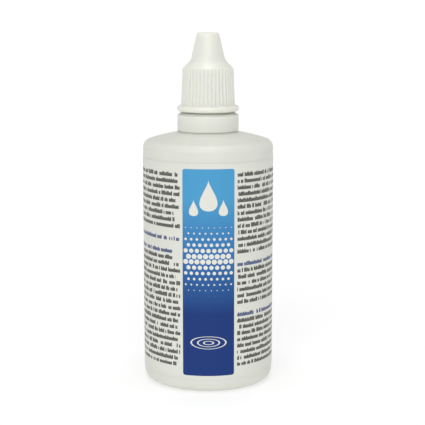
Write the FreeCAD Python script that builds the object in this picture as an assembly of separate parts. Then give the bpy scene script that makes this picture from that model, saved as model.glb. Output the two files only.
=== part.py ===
import FreeCAD, Part
import math
import os

# Squeeze bottle for contact lens solution, in millimetres.
# It stands on z = 0 with its axis along Z, and the printed front faces -Y.

# Bottle body
body_radius = 22.0
body_wall = 1.0
straight_height = 80.2
heel_radius = 3.7
foot_width = 2.2
base_rise = 2.0
shoulder_corner_radius = 2.6
shoulder_dome_radius = 65.0

# Bottle neck
neck_radius = 6.3
neck_wall = 1.2
neck_plain_length = 4.7
collar_step = 2.1
collar_height = 2.8
snap_depth = 0.65
snap_land = 0.6
ledge_inset = 0.2
ledge_gap = 0.12

# Screw thread, shared by the neck and the cap
thread_lead = 3.0
thread_turns = 1.75
unscrew_turns = 1.5
thread_depth = 0.75
thread_crest_width = 0.7
thread_flank_angle = 30.0
thread_below_rim = 2.0
thread_crest_clearance = 0.3
thread_root_clearance = 0.4
thread_embed = 0.3

# Dropper nozzle, pressed into the neck
plug_length = 8.5
plug_wall = 0.9
plug_clearance = 0.02
plug_rounding = 0.3
flange_thickness = 1.1
flange_margin = 0.3
flange_rounding = 0.3
tip_length = 11.8
tip_radius = 2.0
tip_taper_angle = 13.3
tip_wall = 0.9
tip_land = 2.5
tip_rounding = 0.5
orifice_radius = 0.65

# Screw cap
cap_wall = 0.8
cap_shoulder_wall = 1.55
cap_top_wall = 1.35
cap_top_rounding = 0.6
cap_ceiling_clearance = 0.3
cone_wall = 1.2
cone_clearance = 0.9
cone_top_clearance = 0.6
flare_angle = 45.0
flare_fillet = 4.5
skirt_draft_angle = 2.2
skirt_corner_rounding = 0.3
bead_height = 2.2
bead_projection = 1.4
bead_slope_rise = 0.4
bead_lower_rounding = 0.75
bead_upper_rounding = 1.1
mouth_step = 0.3
mouth_depth = 1.6
seal_pin_engagement = 1.2
seal_pin_clearance = 0.2
seal_pin_rounding = 0.2

# Grip ribs of the cap, left standing between round-bottomed grooves
rib_count = 40
rib_depth = 0.35
groove_radius = 0.55
groove_start_gap = 0.15

# Tamper-evident ring
ring_height = 6.2
ring_wall = 1.0
ring_clearance = 0.3
ring_play = 0.4
ring_chamfer_width = 1.55
ring_chamfer_height = 0.95
ring_lip_width = 0.8
ring_lip_height = 0.8
ring_edge_rounding = 0.25
cap_gap = 0.15

# Broken bridges on top of the ring, which once held it to the cap
bridge_count = 12
bridge_width = 1.0
bridge_inset = 0.1
bridge_gap = 0.06

# Wrap-around label film
label_thickness = 0.08
label_glue_gap = 0.02
label_heel_margin = 1.5
label_shoulder_margin = 3.2
label_seam_gap = 1.5

vertical = FreeCAD.Vector(0, 0, 1)
origin = FreeCAD.Vector(0, 0, 0)


def tangent(angle):
    return math.tan(math.radians(angle))


def at(radius, height):
    return FreeCAD.Vector(radius, 0, height)


def line(start, end):
    return Part.LineSegment(start, end).toShape()


def arc(centre, radius, start_angle, end_angle):
    """An arc in the profile plane, its angles counted from the outward direction."""
    angles = (start_angle, (start_angle + end_angle) / 2, end_angle)
    points = [centre + at(radius * math.cos(a), radius * math.sin(a)) for a in angles]
    return Part.Arc(*points).toShape()


def end_points(edge):
    return edge.valueAt(edge.FirstParameter), edge.valueAt(edge.LastParameter)


def revolve(edges, angle=360):
    face = Part.Face(Part.Wire(edges))
    return face.revolve(origin, vertical, angle)


def rounded_outline(corners):
    """Closed outline through corners given as (radius, height) or (radius, height, rounding)."""
    points = [at(corner[0], corner[1]) for corner in corners]
    stretches = []
    for index, corner in enumerate(corners):
        here = points[index]
        rounding = corner[2] if len(corner) > 2 else 0
        if rounding == 0:
            stretches.append((here, None, here))
            continue
        back = (points[index - 1] - here).normalize()
        forward = (points[(index + 1) % len(points)] - here).normalize()
        half_angle = back.getAngle(forward) / 2
        reach = rounding / math.tan(half_angle)
        bisector = (back + forward).normalize()
        middle = here + bisector * (rounding / math.sin(half_angle) - rounding)
        stretches.append((here + back * reach, middle, here + forward * reach))
    edges = []
    for index, (entry, middle, leaving) in enumerate(stretches):
        if middle is not None:
            edges.append(Part.Arc(entry, middle, leaving).toShape())
        next_entry = stretches[(index + 1) % len(stretches)][0]
        edges.append(line(leaving, next_entry))
    return edges


def helical_ridge(root_radius, crest_radius, turns, start_height, start_angle):
    """Thread ridge with a trapezoid section, sunk into the wall that carries it."""
    outward = 1 if crest_radius > root_radius else -1
    sunk_radius = root_radius - outward * thread_embed
    slope = tangent(thread_flank_angle)
    half_crest = thread_crest_width / 2
    half_root = half_crest + abs(crest_radius - sunk_radius) * slope
    section = Part.makePolygon([
        at(sunk_radius, -half_root),
        at(crest_radius, -half_crest),
        at(crest_radius, half_crest),
        at(sunk_radius, half_root),
        at(sunk_radius, -half_root),
    ])
    helix = Part.makeHelix(thread_lead, turns * thread_lead, sunk_radius)
    ridge = Part.Wire(helix.Edges).makePipeShell([section], True, True)
    ridge.rotate(origin, vertical, start_angle)
    ridge.translate(at(0, start_height))
    return ridge


# Heights and radii worked out from the sizes above

foot_inner_radius = body_radius - heel_radius - foot_width
dome_centre_height = straight_height - math.sqrt(
    (shoulder_dome_radius - shoulder_corner_radius) ** 2 - (body_radius - shoulder_corner_radius) ** 2
)


def shoulder_height(radius, depth=0):
    """Height of the domed shoulder at a radius, or of a surface that lies depth under it."""
    return dome_centre_height + math.sqrt((shoulder_dome_radius - depth) ** 2 - radius ** 2)


collar_radius = neck_radius + collar_step
snap_radius = collar_radius + snap_depth
snap_bottom = shoulder_height(collar_radius) + collar_height
snap_top = snap_bottom + snap_land
snap_ramp_top = snap_top + snap_radius - neck_radius
neck_bore = neck_radius - neck_wall
collar_bore = collar_radius - neck_wall

thread_crest_radius = neck_radius + thread_depth
thread_start = snap_ramp_top + neck_plain_length
rim_height = thread_start + thread_turns * thread_lead + thread_below_rim

flange_top = rim_height + flange_thickness
tip_top = flange_top + tip_length

cap_bore = thread_crest_radius + thread_root_clearance
cap_ceiling = flange_top + cap_ceiling_clearance
cone_ceiling = tip_top + cone_top_clearance
cap_top = cone_ceiling + cap_top_wall

ring_inner_radius = snap_radius + ring_clearance
ring_outer_radius = ring_inner_radius + ring_wall
hook_radius = collar_radius + ring_clearance
ring_bottom = shoulder_height(hook_radius) + ring_clearance
ring_top = ring_bottom + ring_height
ring_top_outer_radius = ring_outer_radius - ring_chamfer_width
ring_top_inner_radius = ring_top_outer_radius - ring_lip_width
ledge_radius = ring_outer_radius - ledge_inset
ledge_top = ring_bottom - ledge_gap

cap_bottom = ring_top + cap_gap
bead_top = cap_bottom + bead_height
skirt_top = cap_ceiling + cap_shoulder_wall
skirt_top_radius = cap_bore + cap_wall + rib_depth
skirt_bottom_radius = skirt_top_radius + (skirt_top - bead_top) * tangent(skirt_draft_angle)


def tip_radius_at(height):
    """Outer radius of the nozzle's tapered tip."""
    return tip_radius + (tip_top - height) * tangent(tip_taper_angle)


def make_bottle():
    corner_centre = at(body_radius - shoulder_corner_radius, straight_height)
    heel_centre = at(body_radius - heel_radius, heel_radius)
    dome_centre = at(0, dome_centre_height)
    base_radius = (foot_inner_radius ** 2 + base_rise ** 2) / (2 * base_rise)
    base_angle = math.asin(foot_inner_radius / base_radius)
    upright = math.pi / 2
    junction_angle = math.atan2(corner_centre.z - dome_centre.z, corner_centre.x)

    def body_curves(depth, neck_side_radius):
        """Base, heel, shoulder corner and dome of the surface that lies depth inside the body."""
        base_centre = at(0, base_rise - base_radius + depth)
        dome_radius = shoulder_dome_radius - depth
        neck_side_angle = math.acos(neck_side_radius / dome_radius)
        return [
            arc(base_centre, base_radius, upright, upright - base_angle),
            arc(heel_centre, heel_radius - depth, -upright, 0),
            arc(corner_centre, shoulder_corner_radius - depth, 0, junction_angle),
            arc(dome_centre, dome_radius, junction_angle, neck_side_angle),
        ]

    def with_joining_lines(curves):
        edges = []
        for curve in curves:
            start, end = end_points(curve)
            if edges and not start.isEqual(end_points(edges[-1])[1], 1e-6):
                edges.append(line(end_points(edges[-1])[1], start))
            edges.append(curve)
        return edges

    outside = with_joining_lines(body_curves(0, ledge_radius))
    inside = with_joining_lines(body_curves(body_wall, collar_bore))
    funnel_drop = collar_bore - neck_bore
    neck = [
        at(ledge_radius, shoulder_height(ledge_radius)),
        at(ledge_radius, ledge_top),
        at(collar_radius, ledge_top),
        at(collar_radius, snap_bottom),
        at(snap_radius, snap_bottom),
        at(snap_radius, snap_top),
        at(neck_radius, snap_ramp_top),
        at(neck_radius, rim_height),
        at(neck_bore, rim_height),
        at(neck_bore, snap_bottom + funnel_drop),
        at(collar_bore, snap_bottom),
        at(collar_bore, shoulder_height(collar_bore, body_wall)),
    ]
    neck_lines = [line(start, end) for start, end in zip(neck, neck[1:])]
    axis_line = line(at(0, base_rise), at(0, base_rise + body_wall))
    body = revolve(Part.__sortEdges__(outside + neck_lines + inside + [axis_line]))
    ridge = helical_ridge(neck_radius, thread_crest_radius, thread_turns, thread_start, 0)
    return body.fuse(ridge)


def make_nozzle():
    plug_radius = neck_bore - plug_clearance
    plug_bore = plug_radius - plug_wall
    plug_bottom = rim_height - plug_length
    flange_radius = neck_radius - flange_margin
    land_bottom = tip_top - tip_land
    return revolve(rounded_outline([
        (plug_bore, plug_bottom),
        (plug_radius, plug_bottom, plug_rounding),
        (plug_radius, rim_height),
        (flange_radius, rim_height),
        (flange_radius, flange_top, flange_rounding),
        (tip_radius_at(flange_top), flange_top, flange_rounding),
        (tip_radius, tip_top, tip_rounding),
        (orifice_radius, tip_top),
        (orifice_radius, land_bottom),
        (tip_radius_at(land_bottom) - tip_wall, land_bottom),
        (tip_radius_at(flange_top) - tip_wall, flange_top),
        (plug_bore, rim_height),
    ]))


def rib_grooves():
    """Tilted cylinders that cut the grooves between the grip ribs."""
    start = bead_top + groove_start_gap
    axis_radius = skirt_bottom_radius + groove_radius - rib_depth
    length = cap_top - start
    groove = Part.makeCylinder(groove_radius, length, at(axis_radius, start))
    groove.rotate(at(axis_radius, start), FreeCAD.Vector(0, -1, 0), skirt_draft_angle)
    grooves = []
    for index in range(rib_count):
        copy = groove.copy()
        copy.rotate(origin, vertical, index * 360 / rib_count)
        grooves.append(copy)
    return Part.makeCompound(grooves)


def make_cap():
    taper = tangent(tip_taper_angle)
    flare = tangent(flare_angle)
    cone_offset = cone_clearance + cone_wall
    cone_at_skirt = tip_radius_at(skirt_top) + cone_offset
    flare_rise = (skirt_top_radius - cone_at_skirt) / (flare - taper)
    flare_top = skirt_top + flare_rise
    pin_radius = orifice_radius - seal_pin_clearance
    pin_end = tip_top - seal_pin_engagement
    bead_radius = skirt_bottom_radius + bead_projection
    mouth_radius = cap_bore + mouth_step
    mouth_top = cap_bottom + mouth_depth
    shell = revolve(rounded_outline([
        (mouth_radius, cap_bottom),
        (ring_top_outer_radius, cap_bottom),
        (bead_radius, cap_bottom + bead_slope_rise, bead_lower_rounding),
        (bead_radius, bead_top, bead_upper_rounding),
        (skirt_bottom_radius, bead_top),
        (skirt_top_radius, skirt_top, skirt_corner_rounding),
        (tip_radius_at(flare_top) + cone_offset, flare_top, flare_fillet),
        (tip_radius_at(cap_top) + cone_offset, cap_top, cap_top_rounding),
        (0, cap_top),
        (0, pin_end),
        (pin_radius, pin_end, seal_pin_rounding),
        (pin_radius, cone_ceiling),
        (tip_radius_at(cone_ceiling) + cone_clearance, cone_ceiling),
        (tip_radius_at(cap_ceiling) + cone_clearance, cap_ceiling),
        (cap_bore, cap_ceiling),
        (cap_bore, mouth_top + mouth_step),
        (mouth_radius, mouth_top),
    ]))
    # The cap's ridge lies half a lead above the neck's, and lets go after unscrew_turns.
    turns_behind = thread_turns - 1 - unscrew_turns
    ridge_start = thread_start + thread_lead * (turns_behind + 0.5)
    ridge = helical_ridge(
        cap_bore, neck_radius + thread_crest_clearance, unscrew_turns, ridge_start, 360 * turns_behind
    )
    return shell.cut(rib_grooves()).fuse(ridge)


def make_ring():
    hook_top = snap_bottom - ring_play
    lip_bottom = ring_top - ring_lip_height
    ring = revolve(rounded_outline([
        (hook_radius, ring_bottom, ring_edge_rounding),
        (ring_outer_radius, ring_bottom, ring_edge_rounding),
        (ring_outer_radius, ring_top - ring_chamfer_height, ring_edge_rounding),
        (ring_top_outer_radius, ring_top),
        (ring_top_inner_radius, ring_top),
        (ring_top_inner_radius, lip_bottom),
        (ring_inner_radius, lip_bottom - (ring_inner_radius - ring_top_inner_radius)),
        (ring_inner_radius, hook_top),
        (hook_radius, hook_top),
    ]))
    bridge_inner_radius = ring_top_inner_radius + bridge_inset
    bridge_length = ring_lip_width - 2 * bridge_inset
    bridge_height = cap_gap - bridge_gap
    bridges = []
    for index in range(bridge_count):
        # Each bridge is sunk by its own height into the ring, so that the two join.
        corner = FreeCAD.Vector(bridge_inner_radius, -bridge_width / 2, ring_top - bridge_height)
        bridge = Part.makeBox(bridge_length, bridge_width, 2 * bridge_height, corner)
        bridge.rotate(origin, vertical, (index + 0.5) * 360 / bridge_count)
        bridges.append(bridge)
    return ring.fuse(bridges)


def make_label():
    inner_radius = body_radius + label_glue_gap
    outer_radius = inner_radius + label_thickness
    bottom = heel_radius + label_heel_margin
    top = straight_height - label_shoulder_margin
    seam_angle = math.degrees(label_seam_gap / inner_radius)
    film = revolve(rounded_outline([
        (inner_radius, bottom),
        (outer_radius, bottom),
        (outer_radius, top),
        (inner_radius, top),
    ]), 360 - seam_angle)
    # The seam faces +Y, at the back.
    film.rotate(origin, vertical, 90 + seam_angle / 2)
    return film


os.makedirs("parts", exist_ok=True)
pieces = {
    "bottle": make_bottle(),
    "dropper_nozzle": make_nozzle(),
    "screw_cap": make_cap(),
    "tamper_ring": make_ring(),
    "wrap_label": make_label(),
}
for name, shape in pieces.items():
    shape.exportStep(f"parts/{name}.step")
    box = shape.BoundBox
    print(
        f"{name}: {len(shape.Solids)} solid, valid {shape.isValid()}, volume {shape.Volume:.1f} mm3, "
        f"z {box.ZMin:.2f} to {box.ZMax:.2f}, width {box.XLength:.2f}"
    )
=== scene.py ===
import itertools
import math

import bmesh
import bpy
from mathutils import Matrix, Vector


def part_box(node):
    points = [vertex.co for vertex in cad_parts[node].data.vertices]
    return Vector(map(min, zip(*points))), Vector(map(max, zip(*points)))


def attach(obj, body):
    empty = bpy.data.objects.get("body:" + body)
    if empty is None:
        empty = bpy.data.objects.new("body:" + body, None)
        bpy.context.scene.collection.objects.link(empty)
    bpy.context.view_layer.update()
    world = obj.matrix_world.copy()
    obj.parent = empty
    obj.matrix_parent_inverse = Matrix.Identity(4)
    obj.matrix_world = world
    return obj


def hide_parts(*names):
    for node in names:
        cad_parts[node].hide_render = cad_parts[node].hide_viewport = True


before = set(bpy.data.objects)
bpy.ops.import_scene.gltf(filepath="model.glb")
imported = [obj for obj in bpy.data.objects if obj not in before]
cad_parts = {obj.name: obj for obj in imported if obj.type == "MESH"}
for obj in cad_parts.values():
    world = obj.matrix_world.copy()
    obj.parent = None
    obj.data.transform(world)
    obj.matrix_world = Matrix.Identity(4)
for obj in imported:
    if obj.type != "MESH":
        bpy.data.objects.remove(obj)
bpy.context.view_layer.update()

# Lengths below are in millimetres; meshes are written in metres.
MM = 0.001
TURN = 2 * math.pi
UPRIGHT = math.pi / 2
# Points closer than this are the same point.
TOLERANCE = 1e-6


def frame_box(node):
    """Lowest and highest corner of a CAD node, in millimetres."""
    low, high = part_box(node)
    return low / MM, high / MM


def slope(degrees):
    return math.tan(math.radians(degrees))


bottle_high = frame_box("bottle")[1]
nozzle_high = frame_box("dropper_nozzle")[1]
cap_low, cap_high = frame_box("screw_cap")
ring_low, ring_high = frame_box("tamper_ring")
label_low, label_high = frame_box("wrap_label")

# Bottle body
body_radius = bottle_high.x
body_wall = 1.0
straight_height = 80.2
heel_radius = 3.7
foot_width = 2.2
base_rise = 2.0
shoulder_corner_radius = 2.6
shoulder_dome_radius = 65.0

# Bottle neck
rim_height = bottle_high.z
neck_radius = 6.3
neck_wall = 1.2
collar_radius = 8.4
collar_height = 2.8
snap_radius = 9.05
snap_land = 0.6
ledge_inset = 0.2
ledge_gap = 0.12
neck_rounding = 0.6

# Screw thread
thread_lead = 3.0
thread_turns = 1.75
thread_depth = 0.75
cap_thread_turns = 1.5
cap_thread_depth = 0.85
thread_crest_width = 0.7
thread_flank = slope(30)
thread_below_rim = 2.0
thread_run_out = 0.06
thread_row_step = 0.2
thread_margin = 0.3

# Screw cap
cap_bottom = cap_low.z
cap_top = cap_high.z
bead_radius = cap_high.x
bead_height = 2.2
bead_projection = 1.4
bead_slope_rise = 0.4
bead_lower_rounding = 0.75
bead_upper_rounding = 1.1
skirt_draft = slope(2.2)
skirt_corner_rounding = 0.3
flare_fillet = 4.5
cone_taper = slope(13.3)
cone_inner_radius_at_tip = 2.9
cone_wall = 1.2
cone_top_clearance = 0.6
ceiling_below_tip = 11.5
cap_shoulder_wall = 1.55
cap_top_rounding = 0.6
gate_mark_radius = 0.6
gate_mark_depth = 0.12
cap_bore = 7.45
mouth_step = 0.3
mouth_depth = 1.6
pin_radius = 0.45
pin_engagement = 1.2
rib_count = 40
rib_depth = 0.35
groove_radius = 0.55
groove_start = 0.15
groove_fade = 0.6

# Tamper ring
ring_bottom = ring_low.z
ring_outer_radius = ring_high.x
cap_gap = 0.15
ring_wall = 1.0
ring_chamfer_width = 1.55
ring_chamfer_height = 0.95
ring_lip_width = 0.8
ring_lip_height = 0.8
ring_edge_rounding = 0.25
hook_clearance = 0.3
hook_drop = 0.4
stub_count = 12
stub_width = 1.0
stub_inset = 0.1
stub_flank = 0.12
stub_end_run = 0.03

# Label film
label_radius = -label_low.y
label_thickness = 0.08
label_seam_gap = 1.5
label_bottom = label_low.z
label_top = label_high.z

# Fineness of the meshes
fine_edge = 0.15
arc_deviation = 0.004
body_columns = 192
columns_per_rib = 12
cap_columns = rib_count * columns_per_rib
ring_columns = 432
sharp_angle = math.radians(38)

# Radii and heights worked out from the sizes above
tip_top = nozzle_high.z
cap_ceiling = tip_top - ceiling_below_tip
cone_ceiling = tip_top + cone_top_clearance
skirt_top = cap_ceiling + cap_shoulder_wall
ring_top = cap_bottom - cap_gap
stub_height = ring_high.z - ring_top
foot_inner_radius = body_radius - heel_radius - foot_width
dome_height = straight_height - math.sqrt(
    (shoulder_dome_radius - shoulder_corner_radius) ** 2 - (body_radius - shoulder_corner_radius) ** 2
)


def shoulder_height(radius, depth=0):
    return dome_height + math.sqrt((shoulder_dome_radius - depth) ** 2 - radius ** 2)


def cone_radius(height):
    """Radius of the space inside the cap's tapered top."""
    return cone_inner_radius_at_tip + (tip_top - height) * cone_taper


snap_bottom = shoulder_height(collar_radius) + collar_height
thread_start = rim_height - thread_below_rim - thread_turns * thread_lead
bead_top = cap_bottom + bead_height
skirt_bottom_radius = bead_radius - bead_projection
skirt_top_radius = skirt_bottom_radius - (skirt_top - bead_top) * skirt_draft
bore_bottom = cap_bottom + mouth_depth + mouth_step
ring_top_outer_radius = ring_outer_radius - ring_chamfer_width
ring_top_inner_radius = ring_top_outer_radius - ring_lip_width


# Outlines, given as points (radius, height)

def arc_points(centre, radius, start, end):
    """Points along an arc; its angles are counted from the outward direction."""
    step = 2 * math.acos(1 - arc_deviation / radius)
    count = max(3, math.ceil(abs(end - start) / step))
    angles = [start + (end - start) * i / count for i in range(count + 1)]
    return [(centre[0] + radius * math.cos(a), centre[1] + radius * math.sin(a)) for a in angles]


def rounded_corner(before, corner, after, rounding):
    """Arc that rounds a corner between its neighbours."""
    back = math.atan2(before[1] - corner[1], before[0] - corner[0])
    forward = math.atan2(after[1] - corner[1], after[0] - corner[0])
    opening = (forward - back + math.pi) % TURN - math.pi
    reach = rounding / math.sin(abs(opening) / 2)
    middle = back + opening / 2
    centre = (corner[0] + reach * math.cos(middle), corner[1] + reach * math.sin(middle))
    start = back - math.copysign(UPRIGHT, opening)
    return arc_points(centre, rounding, start, start + opening - math.copysign(math.pi, opening))


def outline(*corners):
    """Points through corners (radius, height) or (radius, height, rounding)."""
    points = []
    for index, corner in enumerate(corners):
        if len(corner) == 2:
            points.append(corner)
            continue
        after = corners[(index + 1) % len(corners)]
        points += rounded_corner(corners[index - 1], corner, after, corner[2])
    return joined(points)


def spaced(start, end, step):
    """Points from start to end, at most step apart."""
    count = math.ceil(math.dist(start, end) / step)
    return [
        (start[0] + (end[0] - start[0]) * i / count, start[1] + (end[1] - start[1]) * i / count)
        for i in range(count + 1)
    ]


def joined(*stretches):
    """One outline from stretches that follow each other, without doubled points."""
    points = []
    for point in itertools.chain(*stretches):
        if not points or math.dist(points[-1], point) > TOLERANCE:
            points.append(point)
    return points


# Meshes

def at(radius, height, angle):
    return radius * math.cos(angle) * MM, radius * math.sin(angle) * MM, height * MM


def turned(name, points, columns, relief, closed=False):
    """Outline turned about Z; relief gives each point's own radius and height at an angle."""
    builder = bmesh.new()
    rows = []
    for radius, height in points:
        if radius < TOLERANCE:
            rows.append([builder.verts.new((0, 0, height * MM))] * columns)
            continue
        angles = [TURN * column / columns for column in range(columns)]
        rows.append([builder.verts.new(at(*relief(radius, height, a), a)) for a in angles])
    if closed:
        rows.append(rows[0])
    for lower, upper in zip(rows, rows[1:]):
        for column in range(columns):
            corners = dict.fromkeys((lower[column - 1], lower[column], upper[column], upper[column - 1]))
            if len(corners) > 2:
                builder.faces.new(list(corners))
    return finished(name, builder)


def finished(name, builder):
    """Object with outward normals, smooth faces and sharp edges where the surface turns a corner."""
    bmesh.ops.recalc_face_normals(builder, faces=builder.faces)
    for face in builder.faces:
        face.smooth = True
    for edge in builder.edges:
        edge.smooth = edge.calc_face_angle(0) < sharp_angle
    mesh = bpy.data.meshes.new(name)
    builder.to_mesh(mesh)
    builder.free()
    piece = bpy.data.objects.new(name, mesh)
    bpy.context.scene.collection.objects.link(piece)
    return piece


def thread_rise(height, angle, first_height, first_turn, turns, depth):
    """How far a helical ridge stands out at a height and angle."""
    turned_by = angle / TURN - first_turn
    along = turned_by + round((height - first_height) / thread_lead - turned_by)
    if not 0 <= along <= turns:
        return 0
    off_crest = abs(height - first_height - thread_lead * along) - thread_crest_width / 2
    rise = max(0, depth - max(0, off_crest) / thread_flank)
    return rise * min(1, along / thread_run_out, (turns - along) / thread_run_out)


# Bottle

def body_surface(depth, neck_side_radius):
    """Base, heel, wall and shoulder of the surface that lies depth inside the bottle's outside."""
    base_radius = (foot_inner_radius ** 2 + base_rise ** 2) / (2 * base_rise)
    base_angle = math.asin(foot_inner_radius / base_radius)
    base_centre = (0, base_rise + depth - base_radius)
    heel_centre = (body_radius - heel_radius, heel_radius)
    corner_centre = (body_radius - shoulder_corner_radius, straight_height)
    dome_radius = shoulder_dome_radius - depth
    dome_start = math.atan2(straight_height - dome_height, corner_centre[0])
    return joined(
        arc_points(base_centre, base_radius, UPRIGHT, UPRIGHT - base_angle),
        arc_points(heel_centre, heel_radius - depth, -UPRIGHT, 0),
        arc_points(corner_centre, shoulder_corner_radius - depth, 0, dome_start),
        arc_points((0, dome_height), dome_radius, dome_start, math.acos(neck_side_radius / dome_radius)),
    )


def make_bottle():
    snap_top = snap_bottom + snap_land
    ramp_top = snap_top + snap_radius - neck_radius
    neck_bore = neck_radius - neck_wall
    collar_bore = collar_radius - neck_wall
    ledge_radius = ring_outer_radius - ledge_inset
    ledge_top = ring_bottom - ledge_gap
    thread_foot = (neck_radius, thread_start - thread_lead / 2)
    thread_head = (neck_radius, rim_height - thread_margin)
    neck = joined(
        outline(
            (ledge_radius, shoulder_height(ledge_radius)),
            (ledge_radius, ledge_top, fine_edge),
            (collar_radius, ledge_top, fine_edge),
            (collar_radius, snap_bottom, fine_edge),
            (snap_radius, snap_bottom, fine_edge),
            (snap_radius, snap_top, fine_edge),
            (neck_radius, ramp_top, neck_rounding),
            thread_foot,
        ),
        spaced(thread_foot, thread_head, thread_row_step),
        outline(
            thread_head,
            (neck_radius, rim_height, fine_edge),
            (neck_bore, rim_height, fine_edge),
            (neck_bore, snap_bottom + collar_bore - neck_bore, neck_rounding),
            (collar_bore, snap_bottom, neck_rounding),
            (collar_bore, shoulder_height(collar_bore, body_wall)),
        ),
    )

    def relief(radius, height, angle):
        if abs(radius - neck_radius) > TOLERANCE:
            return radius, height
        return radius + thread_rise(height, angle, thread_start, 0, thread_turns, thread_depth), height

    inside = body_surface(body_wall, collar_bore)[::-1]
    points = joined(body_surface(0, ledge_radius), neck, inside)
    return turned("bottle_body", points, body_columns, relief)


# Screw cap

def cap_outside():
    """From the mouth over bead, skirt, flare and cone to the middle of the top."""
    flare_rise = (skirt_top_radius - cone_radius(skirt_top) - cone_wall) / (1 - cone_taper)
    flare_top = skirt_top + flare_rise
    fade_top = bead_top + groove_start + groove_fade
    fade_foot = (skirt_bottom_radius - fine_edge * skirt_draft, bead_top + fine_edge)
    fade_head = (skirt_bottom_radius - (fade_top - bead_top) * skirt_draft, fade_top)
    run_out_foot = (skirt_top_radius - fine_edge, skirt_top + fine_edge)
    run_out_head = (skirt_top_radius - rib_depth - fine_edge, skirt_top + rib_depth + fine_edge)
    return joined(
        outline(
            (cap_bore + mouth_step, cap_bottom),
            (ring_top_outer_radius, cap_bottom, fine_edge),
            (bead_radius, cap_bottom + bead_slope_rise, bead_lower_rounding),
            (bead_radius, bead_top, bead_upper_rounding),
            (skirt_bottom_radius, bead_top, fine_edge),
            fade_foot,
        ),
        spaced(fade_foot, fade_head, fine_edge),
        outline(fade_head, (skirt_top_radius, skirt_top, skirt_corner_rounding), run_out_foot),
        spaced(run_out_foot, run_out_head, fine_edge / 2),
        outline(
            run_out_head,
            (cone_radius(flare_top) + cone_wall, flare_top, flare_fillet),
            (cone_radius(cap_top) + cone_wall, cap_top, cap_top_rounding),
            (gate_mark_radius, cap_top),
            (0, cap_top - gate_mark_depth),
        ),
    )


def cap_inside():
    """From the sealing pin through the cone's ceiling and the threaded bore back to the mouth."""
    pin_end = tip_top - pin_engagement
    thread_head = (cap_bore, cap_ceiling - thread_margin)
    thread_foot = (cap_bore, bore_bottom)
    return joined(
        outline(
            (0, pin_end),
            (pin_radius, pin_end, fine_edge),
            (pin_radius, cone_ceiling, fine_edge),
            (cone_radius(cone_ceiling), cone_ceiling, fine_edge),
            (cone_radius(cap_ceiling), cap_ceiling, fine_edge),
            (cap_bore, cap_ceiling, fine_edge),
            thread_head,
        ),
        spaced(thread_head, thread_foot, thread_row_step),
        [(cap_bore + mouth_step, bore_bottom - mouth_step)],
    )


def groove_bite(height, angle):
    """Depth of the groove between two grip ribs."""
    pitch = TURN / rib_count
    off_middle = ((angle + pitch / 2) % pitch - pitch / 2) * skirt_bottom_radius
    bite = math.sqrt(max(0, groove_radius ** 2 - off_middle ** 2)) - groove_radius + rib_depth
    fade = min(1, max(0, height - bead_top - groove_start) / groove_fade)
    return max(0, bite) * math.sin(fade * UPRIGHT)


def make_cap():
    # The cap's ridge lies half a lead above the neck's.
    turns_behind = thread_turns - 1 - cap_thread_turns
    ridge_start = thread_start + thread_lead * (turns_behind + 0.5)

    def relief(radius, height, angle):
        if abs(radius - cap_bore) < TOLERANCE:
            rise = thread_rise(height, angle, ridge_start, turns_behind, cap_thread_turns, cap_thread_depth)
            return radius - rise, height
        if radius > cap_bore and height > bead_top:
            crest_radius = skirt_bottom_radius - (height - bead_top) * skirt_draft
            return min(radius, crest_radius - groove_bite(height, angle)), height
        return radius, height

    return turned("cap_shell", joined(cap_outside(), cap_inside()), cap_columns, relief, closed=True)


# Tamper ring

def make_ring():
    inner_radius = ring_outer_radius - ring_wall
    hook_radius = collar_radius + hook_clearance
    hook_top = snap_bottom - hook_drop
    lip_bottom = ring_top - ring_lip_height
    stub_inner = ring_top_inner_radius + stub_inset
    stub_outer = ring_top_outer_radius - stub_inset
    # The stubs' tops lie between two close pairs of rows, so that their ends stand upright.
    stub_rows = (stub_outer, stub_outer - stub_end_run, stub_inner + stub_end_run, stub_inner)
    points = outline(
        (ring_top_inner_radius, ring_top),
        (ring_top_inner_radius, lip_bottom, fine_edge),
        (inner_radius, lip_bottom - inner_radius + ring_top_inner_radius, fine_edge),
        (inner_radius, hook_top, fine_edge),
        (hook_radius, hook_top, fine_edge),
        (hook_radius, ring_bottom, ring_edge_rounding),
        (ring_outer_radius, ring_bottom, ring_edge_rounding),
        (ring_outer_radius, ring_top - ring_chamfer_height, ring_edge_rounding),
        (ring_top_outer_radius, ring_top),
    ) + [(radius, ring_top) for radius in stub_rows]

    def relief(radius, height, angle):
        if radius not in stub_rows[1:3]:
            return radius, height
        pitch = TURN / stub_count
        off_middle = abs(angle % pitch - pitch / 2) * radius
        share = (stub_width / 2 - off_middle) / stub_flank + 0.5
        return radius, height + stub_height * min(1, max(0, share))

    return turned("ring_band", points, ring_columns, relief, closed=True)


# Label film

def make_label():
    """Film with its own thickness, open at the seam at the back."""
    inner_radius = label_radius - label_thickness
    section = (
        (label_radius, label_bottom),
        (label_radius, label_top),
        (inner_radius, label_top),
        (inner_radius, label_bottom),
    )
    builder = bmesh.new()
    start = UPRIGHT + label_seam_gap / inner_radius / 2
    sweep = TURN - label_seam_gap / inner_radius
    loops = []
    for column in range(body_columns + 1):
        angle = start + sweep * column / body_columns
        loops.append([builder.verts.new(at(radius, height, angle)) for radius, height in section])
    for here, after in zip(loops, loops[1:]):
        for index in range(len(section)):
            builder.faces.new((here[index - 1], after[index - 1], after[index], here[index]))
    builder.faces.new(loops[0])
    builder.faces.new(loops[-1])
    return finished("label_wrap", builder)


# Materials

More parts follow.
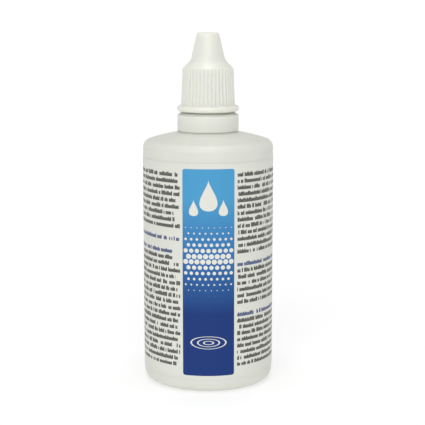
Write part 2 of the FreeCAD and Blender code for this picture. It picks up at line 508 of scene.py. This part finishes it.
class Graph:
    """Short names for building the nodes of a material or a world."""

    def __init__(self, owner, surface="Principled BSDF"):
        owner.use_nodes = True
        self.owner = owner
        self.tree = owner.node_tree
        self.surface = self.tree.nodes[surface]

    def node(self, kind, **properties):
        node = self.tree.nodes.new(kind)
        for key, value in properties.items():
            setattr(node, key, value)
        return node

    def put(self, socket, value):
        if isinstance(value, bpy.types.NodeSocket):
            self.tree.links.new(value, socket)
        else:
            socket.default_value = value

    def set(self, name, value):
        self.put(self.surface.inputs[name], value)

    def split(self, space):
        """Three parts of the place in a space of the texture coordinates."""
        node = self.node("ShaderNodeSeparateXYZ")
        self.put(node.inputs[0], self.node("ShaderNodeTexCoord").outputs[space])
        return node.outputs

    def math(self, operation, *values):
        node = self.node("ShaderNodeMath", operation=operation)
        for socket, value in zip(node.inputs, values):
            self.put(socket, value)
        return node.outputs[0]

    def product(self, *values):
        result = values[0]
        for value in values[1:]:
            result = self.math("MULTIPLY", result, value)
        return result

    def length(self, first, second):
        return self.math("SQRT", self.math("ADD", self.product(first, first), self.product(second, second)))

    def offset(self, value, middle):
        """Distance of value from middle, on either side."""
        return self.math("ABSOLUTE", self.math("SUBTRACT", value, middle))

    def inside(self, value, edge, softness):
        """One where value is below edge, fading to nought over softness."""
        node = self.node("ShaderNodeMapRange", interpolation_type="SMOOTHSTEP")
        self.put(node.inputs["Value"], value)
        self.put(node.inputs["From Min"], edge)
        self.put(node.inputs["From Max"], self.math("ADD", edge, softness))
        self.put(node.inputs["To Min"], 1.0)
        self.put(node.inputs["To Max"], 0.0)
        return node.outputs["Result"]

    def mix(self, share, first, second):
        """Colour between two colours, which the node takes at its inputs 6 and 7."""
        node = self.node("ShaderNodeMix", data_type="RGBA")
        self.put(node.inputs[0], share)
        self.put(node.inputs[6], first)
        self.put(node.inputs[7], second)
        return node.outputs[2]

    def noise(self, scale, detail=2):
        node = self.node("ShaderNodeTexNoise")
        self.put(node.inputs["Vector"], self.node("ShaderNodeTexCoord").outputs["Object"])
        self.put(node.inputs["Scale"], scale)
        self.put(node.inputs["Detail"], detail)
        return node.outputs["Fac"]

    def random(self, first, second):
        """Number from nought to one that belongs to a pair of numbers."""
        pair = self.node("ShaderNodeCombineXYZ")
        self.put(pair.inputs[0], first)
        self.put(pair.inputs[1], second)
        node = self.node("ShaderNodeTexWhiteNoise", noise_dimensions="2D")
        self.put(node.inputs["Vector"], pair.outputs[0])
        return node.outputs["Value"]

    def bump(self, height, strength, distance):
        node = self.node("ShaderNodeBump")
        self.put(node.inputs["Strength"], strength)
        self.put(node.inputs["Distance"], distance)
        self.put(node.inputs["Height"], height)
        self.set("Normal", node.outputs["Normal"])


def srgb(red, green, blue):
    """Linear colour from 8-bit display values."""
    def linear(value):
        share = value / 255
        return share / 12.92 if share <= 0.04045 else ((share + 0.055) / 1.055) ** 2.4
    return (linear(red), linear(green), linear(blue), 1)


def grey(share):
    return (share, share, share, 1)


def cloudy_colour(graph, dark, light):
    """Colour that wanders between two shades."""
    return graph.mix(graph.noise(cloud_scale, detail=3), dark, light)


def uneven_roughness(graph, scale, middle, spread):
    """Roughness that wanders about its middle value."""
    return graph.math("MULTIPLY_ADD", graph.noise(scale), spread, middle - spread / 2)


# Patterns of the surfaces, as repeats to a metre
cloud_scale = 90
wave_scale = 160
plastic_gloss_scale = 240
film_gloss_scale = 260
grain_scale = 1800

# Moulded plastic
plastic_ior = 1.49
plastic_gloss_spread = 0.12
plastic_bump_strength = 0.25
plastic_bump_height = 0.06
grain_share = 0.35
scatter_length = 2.5
scatter_shares = (1.0, 0.85, 0.6)
parting_line_half_width = 0.15
parting_line_softness = 0.15
parting_line_rise = 3.0


def moulded_plastic(name, light, dark, roughness, translucency, parted=False):
    """Milky plastic with cloudy colour, fine grain and uneven gloss, and a parting line if parted."""
    graph = Graph(bpy.data.materials.new(name))
    graph.set("Base Color", cloudy_colour(graph, dark, light))
    graph.set("Roughness", uneven_roughness(graph, plastic_gloss_scale, roughness, plastic_gloss_spread))
    graph.set("Subsurface Weight", translucency)
    graph.set("Subsurface Radius", scatter_shares)
    graph.set("Subsurface Scale", scatter_length * MM)
    graph.set("IOR", plastic_ior)
    waves = graph.noise(wave_scale, detail=1)
    surface = graph.math("MULTIPLY_ADD", graph.noise(grain_scale, detail=3), grain_share, waves)
    if parted:
        off_line = graph.math("ABSOLUTE", graph.split("Object")[1])
        line = graph.inside(off_line, parting_line_half_width * MM, parting_line_softness * MM)
        surface = graph.math("MULTIPLY_ADD", line, parting_line_rise, surface)
    graph.bump(surface, plastic_bump_strength, plastic_bump_height * MM)
    return graph.owner


# Printed design of the label, in millimetres along the film from the middle of the front

design_shift = 0.2
panel_half_width = 8.65
panel_bottom = 6.2
panel_top = 75.2
panel_corner = 0.8
# Where the panel's colours lie, as shares of its height
navy_place = 0.3
mid_blue_place = 0.58
sky_blue_place = 0.86
dot_pitch = 1.9
dot_radius = 0.87
dot_row_reach = 8.0
dot_band_height = 45.6
dot_band_reach = 12.2
# Middle, height, half height and half width of each drop
drops = ((0, 66.5, 5.0, 2.9), (-4.9, 62.5, 2.6, 1.5), (4.9, 62.5, 2.6, 1.5))
# What a drop's taper times the root of its roundness comes to where it is widest
drop_fullness = 1.3
ripple_height = 17.5
ripple_flatness = 0.36
ripple_radii = (1.6, 3.6, 5.8)
ripple_width = 0.42
column_starts = (-64.8, -35.1, 9.8, 39.5)
column_width = 25.5
shortest_line = 0.86 * column_width
line_spread = 0.2 * column_width
lines_top = 74.2
lines_bottom = 9.0
line_pitch = 2.12
dash_pitch = 0.46
soft_edge = 0.08
# Shares of a line's pitch where a dash begins and ends, and by which a tall one begins higher
dash_top = 0.3
dash_bottom = 0.8
tall_dash_rise = 0.16
# Share of a dash's pitch that it fills
dash_fill = 0.86
# How often a dash is tall or missing, and a line blank
tall_share = 0.3
missing_share = 0.14
blank_share = 0.1

# Finish and inks of the film
film_roughness = 0.38
film_gloss_spread = 0.1
film_specular = 0.25
film_bump_strength = 0.2
film_bump_height = 0.05
film_white = srgb(212, 213, 205)
film_shade = srgb(207, 208, 199)
sky_blue = srgb(67, 146, 191)
mid_blue = srgb(42, 102, 162)
navy_blue = srgb(3, 45, 111)
ink_grey = srgb(30, 29, 25)
ink_blue = srgb(25, 50, 108)


def film_place(graph):
    """Distance along the film from the middle of the front, and height, in millimetres."""
    x, y, z = graph.split("Object")
    angle = graph.math("ARCTAN2", x, graph.math("MULTIPLY", y, -1.0))
    along = graph.math("MULTIPLY_ADD", angle, label_radius, -design_shift)
    return along, graph.math("DIVIDE", z, MM)


def panel_mask(graph, along, height):
    """Front panel with rounded corners."""
    def overhang(distance, half_size):
        return graph.math("MAXIMUM", graph.math("SUBTRACT", distance, half_size - panel_corner), 0.0)

    off_level = graph.offset(height, (panel_top + panel_bottom) / 2)
    over_side = overhang(graph.math("ABSOLUTE", along), panel_half_width)
    over_end = overhang(off_level, (panel_top - panel_bottom) / 2)
    return graph.inside(graph.length(over_side, over_end), panel_corner, soft_edge)


def panel_ground(graph, height):
    """Colour that runs from navy at the foot to sky blue at the top."""
    ramp = graph.node("ShaderNodeValToRGB")
    rise = graph.math("SUBTRACT", height, panel_bottom)
    graph.put(ramp.inputs[0], graph.math("DIVIDE", rise, panel_top - panel_bottom))
    low, high = ramp.color_ramp.elements
    low.position = navy_place
    low.color = navy_blue
    high.position = sky_blue_place
    high.color = sky_blue
    ramp.color_ramp.elements.new(mid_blue_place).color = mid_blue
    return ramp.outputs[0]


def dot_mask(graph, along, height):
    """Staggered rows of whole dots, largest in the middle of their band."""
    def from_cell_middle(value):
        return graph.math("SUBTRACT", graph.math("FLOORED_MODULO", value, dot_pitch), dot_pitch / 2)

    row = graph.math("FLOOR", graph.math("DIVIDE", height, dot_pitch))
    stagger = graph.product(graph.math("MODULO", row, 2.0), dot_pitch / 2)
    sideways = from_cell_middle(graph.math("ADD", along, stagger))
    distance = graph.length(sideways, from_cell_middle(height))
    off_band = graph.math("DIVIDE", graph.offset(height, dot_band_height), dot_band_reach)
    size = graph.product(graph.math("SUBTRACT", 1.0, off_band), dot_radius)
    whole = graph.math("LESS_THAN", graph.offset(along, sideways), dot_row_reach)
    return graph.product(graph.inside(distance, size, soft_edge), whole)


def drop_mask(graph, along, height, middle, level, half_height, half_width):
    """Plain water drop with its tip at the top."""
    rise = graph.math("DIVIDE", graph.math("SUBTRACT", height, level), half_height)
    roundness = graph.math("MAXIMUM", graph.math("SUBTRACT", 1.0, graph.product(rise, rise)), 0.0)
    taper = graph.math("SUBTRACT", 1.0, rise)
    edge = graph.product(graph.math("SQRT", roundness), taper, half_width / drop_fullness)
    within = graph.inside(graph.offset(along, middle), edge, soft_edge)
    return graph.product(within, graph.math("GREATER_THAN", roundness, 0.0))


def ripple_mask(graph, along, height, radius):
    """Flattened ring, like a ripple on water."""
    rise = graph.math("DIVIDE", graph.math("SUBTRACT", height, ripple_height), ripple_flatness)
    return graph.inside(graph.offset(graph.length(along, rise), radius), ripple_width / 2, soft_edge)


def column_number(graph, along):
    """How many columns begin before a place along the film."""
    number = 0.0
    for start in column_starts:
        number = graph.math("ADD", graph.math("GREATER_THAN", along, start), number)
    return number


def column_mask(graph, along, line_chance):
    """Columns at both sides and the back, with lines of uneven length."""
    mask = 0.0
    for start in column_starts:
        line_end = graph.math("MULTIPLY_ADD", line_chance, line_spread, start + shortest_line)
        column = graph.product(
            graph.math("GREATER_THAN", along, start),
            graph.math("LESS_THAN", along, graph.math("MINIMUM", line_end, start + column_width)),
        )
        mask = graph.math("ADD", column, mask)
    return mask


def dash_lines(graph, along, height):
    """Lines of short dashes: where their ink is, and its colour."""
    line = graph.math("DIVIDE", graph.math("SUBTRACT", lines_top, height), line_pitch)
    line_number = graph.math("FLOOR", line)
    line_share = graph.math("FRACT", line)
    dash = graph.math("DIVIDE", along, dash_pitch)
    column = column_number(graph, along)
    chance = graph.random(graph.math("FLOOR", dash), line_number)
    line_chance = graph.random(line_number, column)
    tall = graph.math("GREATER_THAN", chance, 1 - tall_share)
    ink = graph.product(
        graph.math("GREATER_THAN", line_share, graph.math("MULTIPLY_ADD", tall, -tall_dash_rise, dash_top)),
        graph.math("LESS_THAN", line_share, dash_bottom),
        graph.math("LESS_THAN", graph.math("FRACT", dash), dash_fill),
        graph.math("GREATER_THAN", chance, missing_share),
        graph.math("GREATER_THAN", line_chance, blank_share),
        graph.math("LESS_THAN", height, lines_top),
        graph.math("GREATER_THAN", height, lines_bottom),
        column_mask(graph, along, line_chance),
    )
    # A line that follows a blank one is blue.
    chance_above = graph.random(graph.math("SUBTRACT", line_number, 1.0), column)
    return ink, graph.mix(graph.math("LESS_THAN", chance_above, blank_share), ink_grey, ink_blue)


def printed_film(name):
    """White satin film with a blue front panel and columns of grey dashes."""
    graph = Graph(bpy.data.materials.new(name))
    along, height = film_place(graph)
    panel_ink = dot_mask(graph, along, height)
    for drop in drops:
        panel_ink = graph.math("MAXIMUM", panel_ink, drop_mask(graph, along, height, *drop))
    for radius in ripple_radii:
        panel_ink = graph.math("MAXIMUM", panel_ink, ripple_mask(graph, along, height, radius))
    panel_colour = graph.mix(panel_ink, panel_ground(graph, height), film_white)
    ink, ink_colour = dash_lines(graph, along, height)
    dashed_film = graph.mix(ink, cloudy_colour(graph, film_shade, film_white), ink_colour)
    graph.set("Base Color", graph.mix(panel_mask(graph, along, height), dashed_film, panel_colour))
    graph.set("Roughness", uneven_roughness(graph, film_gloss_scale, film_roughness, film_gloss_spread))
    graph.set("Specular IOR Level", film_specular)
    graph.bump(graph.noise(wave_scale, detail=1), film_bump_strength, film_bump_height * MM)
    return graph.owner


# Floor, lights and camera

# Floor, with its size in metres and its shades and glow as shares of white
floor_size = 2000
floor_dark = 0.49
floor_light = 0.51
floor_glow = 0.5
floor_cloud_scale = 3
floor_roughness = 0.9
floor_specular = 0.1
# Brightness of the sky, and the elevations between which the white backdrop fades to it
sky_share = 0.42
backdrop_edge = math.radians(5)
sky_edge = math.radians(18)
# Camera fitted to the photograph, with its place in metres
camera_place = (0.0015, -0.4203, 0.129)
camera_pitch = math.radians(-9.67)
camera_lens = 105.63
camera_sensor = 36
camera_near_end = 0.01


def make_floor():
    """White floor that glows a little, so that shadows on it stay faint."""
    bpy.ops.mesh.primitive_plane_add(size=floor_size)
    floor = bpy.context.object
    floor.name = "floor"
    graph = Graph(bpy.data.materials.new("floor_white"))
    graph.set("Base Color", graph.mix(graph.noise(floor_cloud_scale), grey(floor_dark), grey(floor_light)))
    graph.set("Emission Color", grey(1))
    graph.set("Emission Strength", floor_glow)
    graph.set("Roughness", floor_roughness)
    graph.set("Specular IOR Level", floor_specular)
    floor.data.materials.append(graph.owner)


def soft_light(name, share, elevation, azimuth, spread):
    """Wide even light; its share is the brightness it gives a white surface that faces it."""
    light = bpy.data.lights.new(name, "SUN")
    light.energy = share * math.pi
    light.angle = math.radians(spread)
    holder = bpy.data.objects.new(name, light)
    holder.rotation_euler = (math.radians(90 - elevation), 0, math.radians(azimuth))
    bpy.context.scene.collection.objects.link(holder)


def make_studio():
    """White backdrop that fades to a dimmer sky, light from above and a key light from the front."""
    world = bpy.data.worlds.new("studio")
    bpy.context.scene.world = world
    graph = Graph(world, "Background")
    low = math.sin(backdrop_edge)
    high = math.sin(sky_edge)
    backdrop = graph.inside(graph.split("Generated")[2], low, high - low)
    graph.set("Color", grey(1))
    graph.set("Strength", graph.math("MULTIPLY_ADD", backdrop, 1 - sky_share, sky_share))
    soft_light("top_light", share=0.37, elevation=90, azimuth=0, spread=30)
    soft_light("front_light", share=0.44, elevation=30, azimuth=-6, spread=50)


def make_camera():
    """Camera at the place that the photograph was taken from."""
    camera = bpy.data.cameras.new("camera")
    camera.sensor_width = camera_sensor
    camera.lens = camera_lens
    camera.clip_start = camera_near_end
    holder = bpy.data.objects.new("camera", camera)
    holder.location = camera_place
    holder.rotation_euler = (UPRIGHT + camera_pitch, 0, 0)
    bpy.context.scene.collection.objects.link(holder)
    bpy.context.scene.camera = holder


def dress(piece, material, body, node):
    """Puts a piece in place of a CAD node."""
    piece.data.materials.append(material)
    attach(piece, body)
    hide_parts(node)


bottle_plastic = moulded_plastic(
    "bottle_plastic",
    light=srgb(211, 212, 203),
    dark=srgb(206, 207, 198),
    roughness=0.42,
    translucency=0.3,
    parted=True,
)
cap_plastic = moulded_plastic(
    "cap_plastic",
    light=srgb(220, 220, 211),
    dark=srgb(215, 216, 207),
    roughness=0.38,
    translucency=0.6,
)
nozzle_plastic = moulded_plastic(
    "nozzle_plastic",
    light=srgb(240, 241, 236),
    dark=srgb(234, 236, 230),
    roughness=0.35,
    translucency=0.3,
)

dress(make_bottle(), bottle_plastic, "bottle", "bottle")
dress(make_cap(), cap_plastic, "cap", "screw_cap")
dress(make_ring(), cap_plastic, "ring", "tamper_ring")
dress(make_label(), printed_film("label_print"), "bottle", "wrap_label")
nozzle_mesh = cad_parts["dropper_nozzle"].data
nozzle_mesh.materials.clear()
nozzle_mesh.materials.append(nozzle_plastic)

make_floor()
make_studio()
make_camera()
bpy.context.scene.view_settings.view_transform = "Standard"
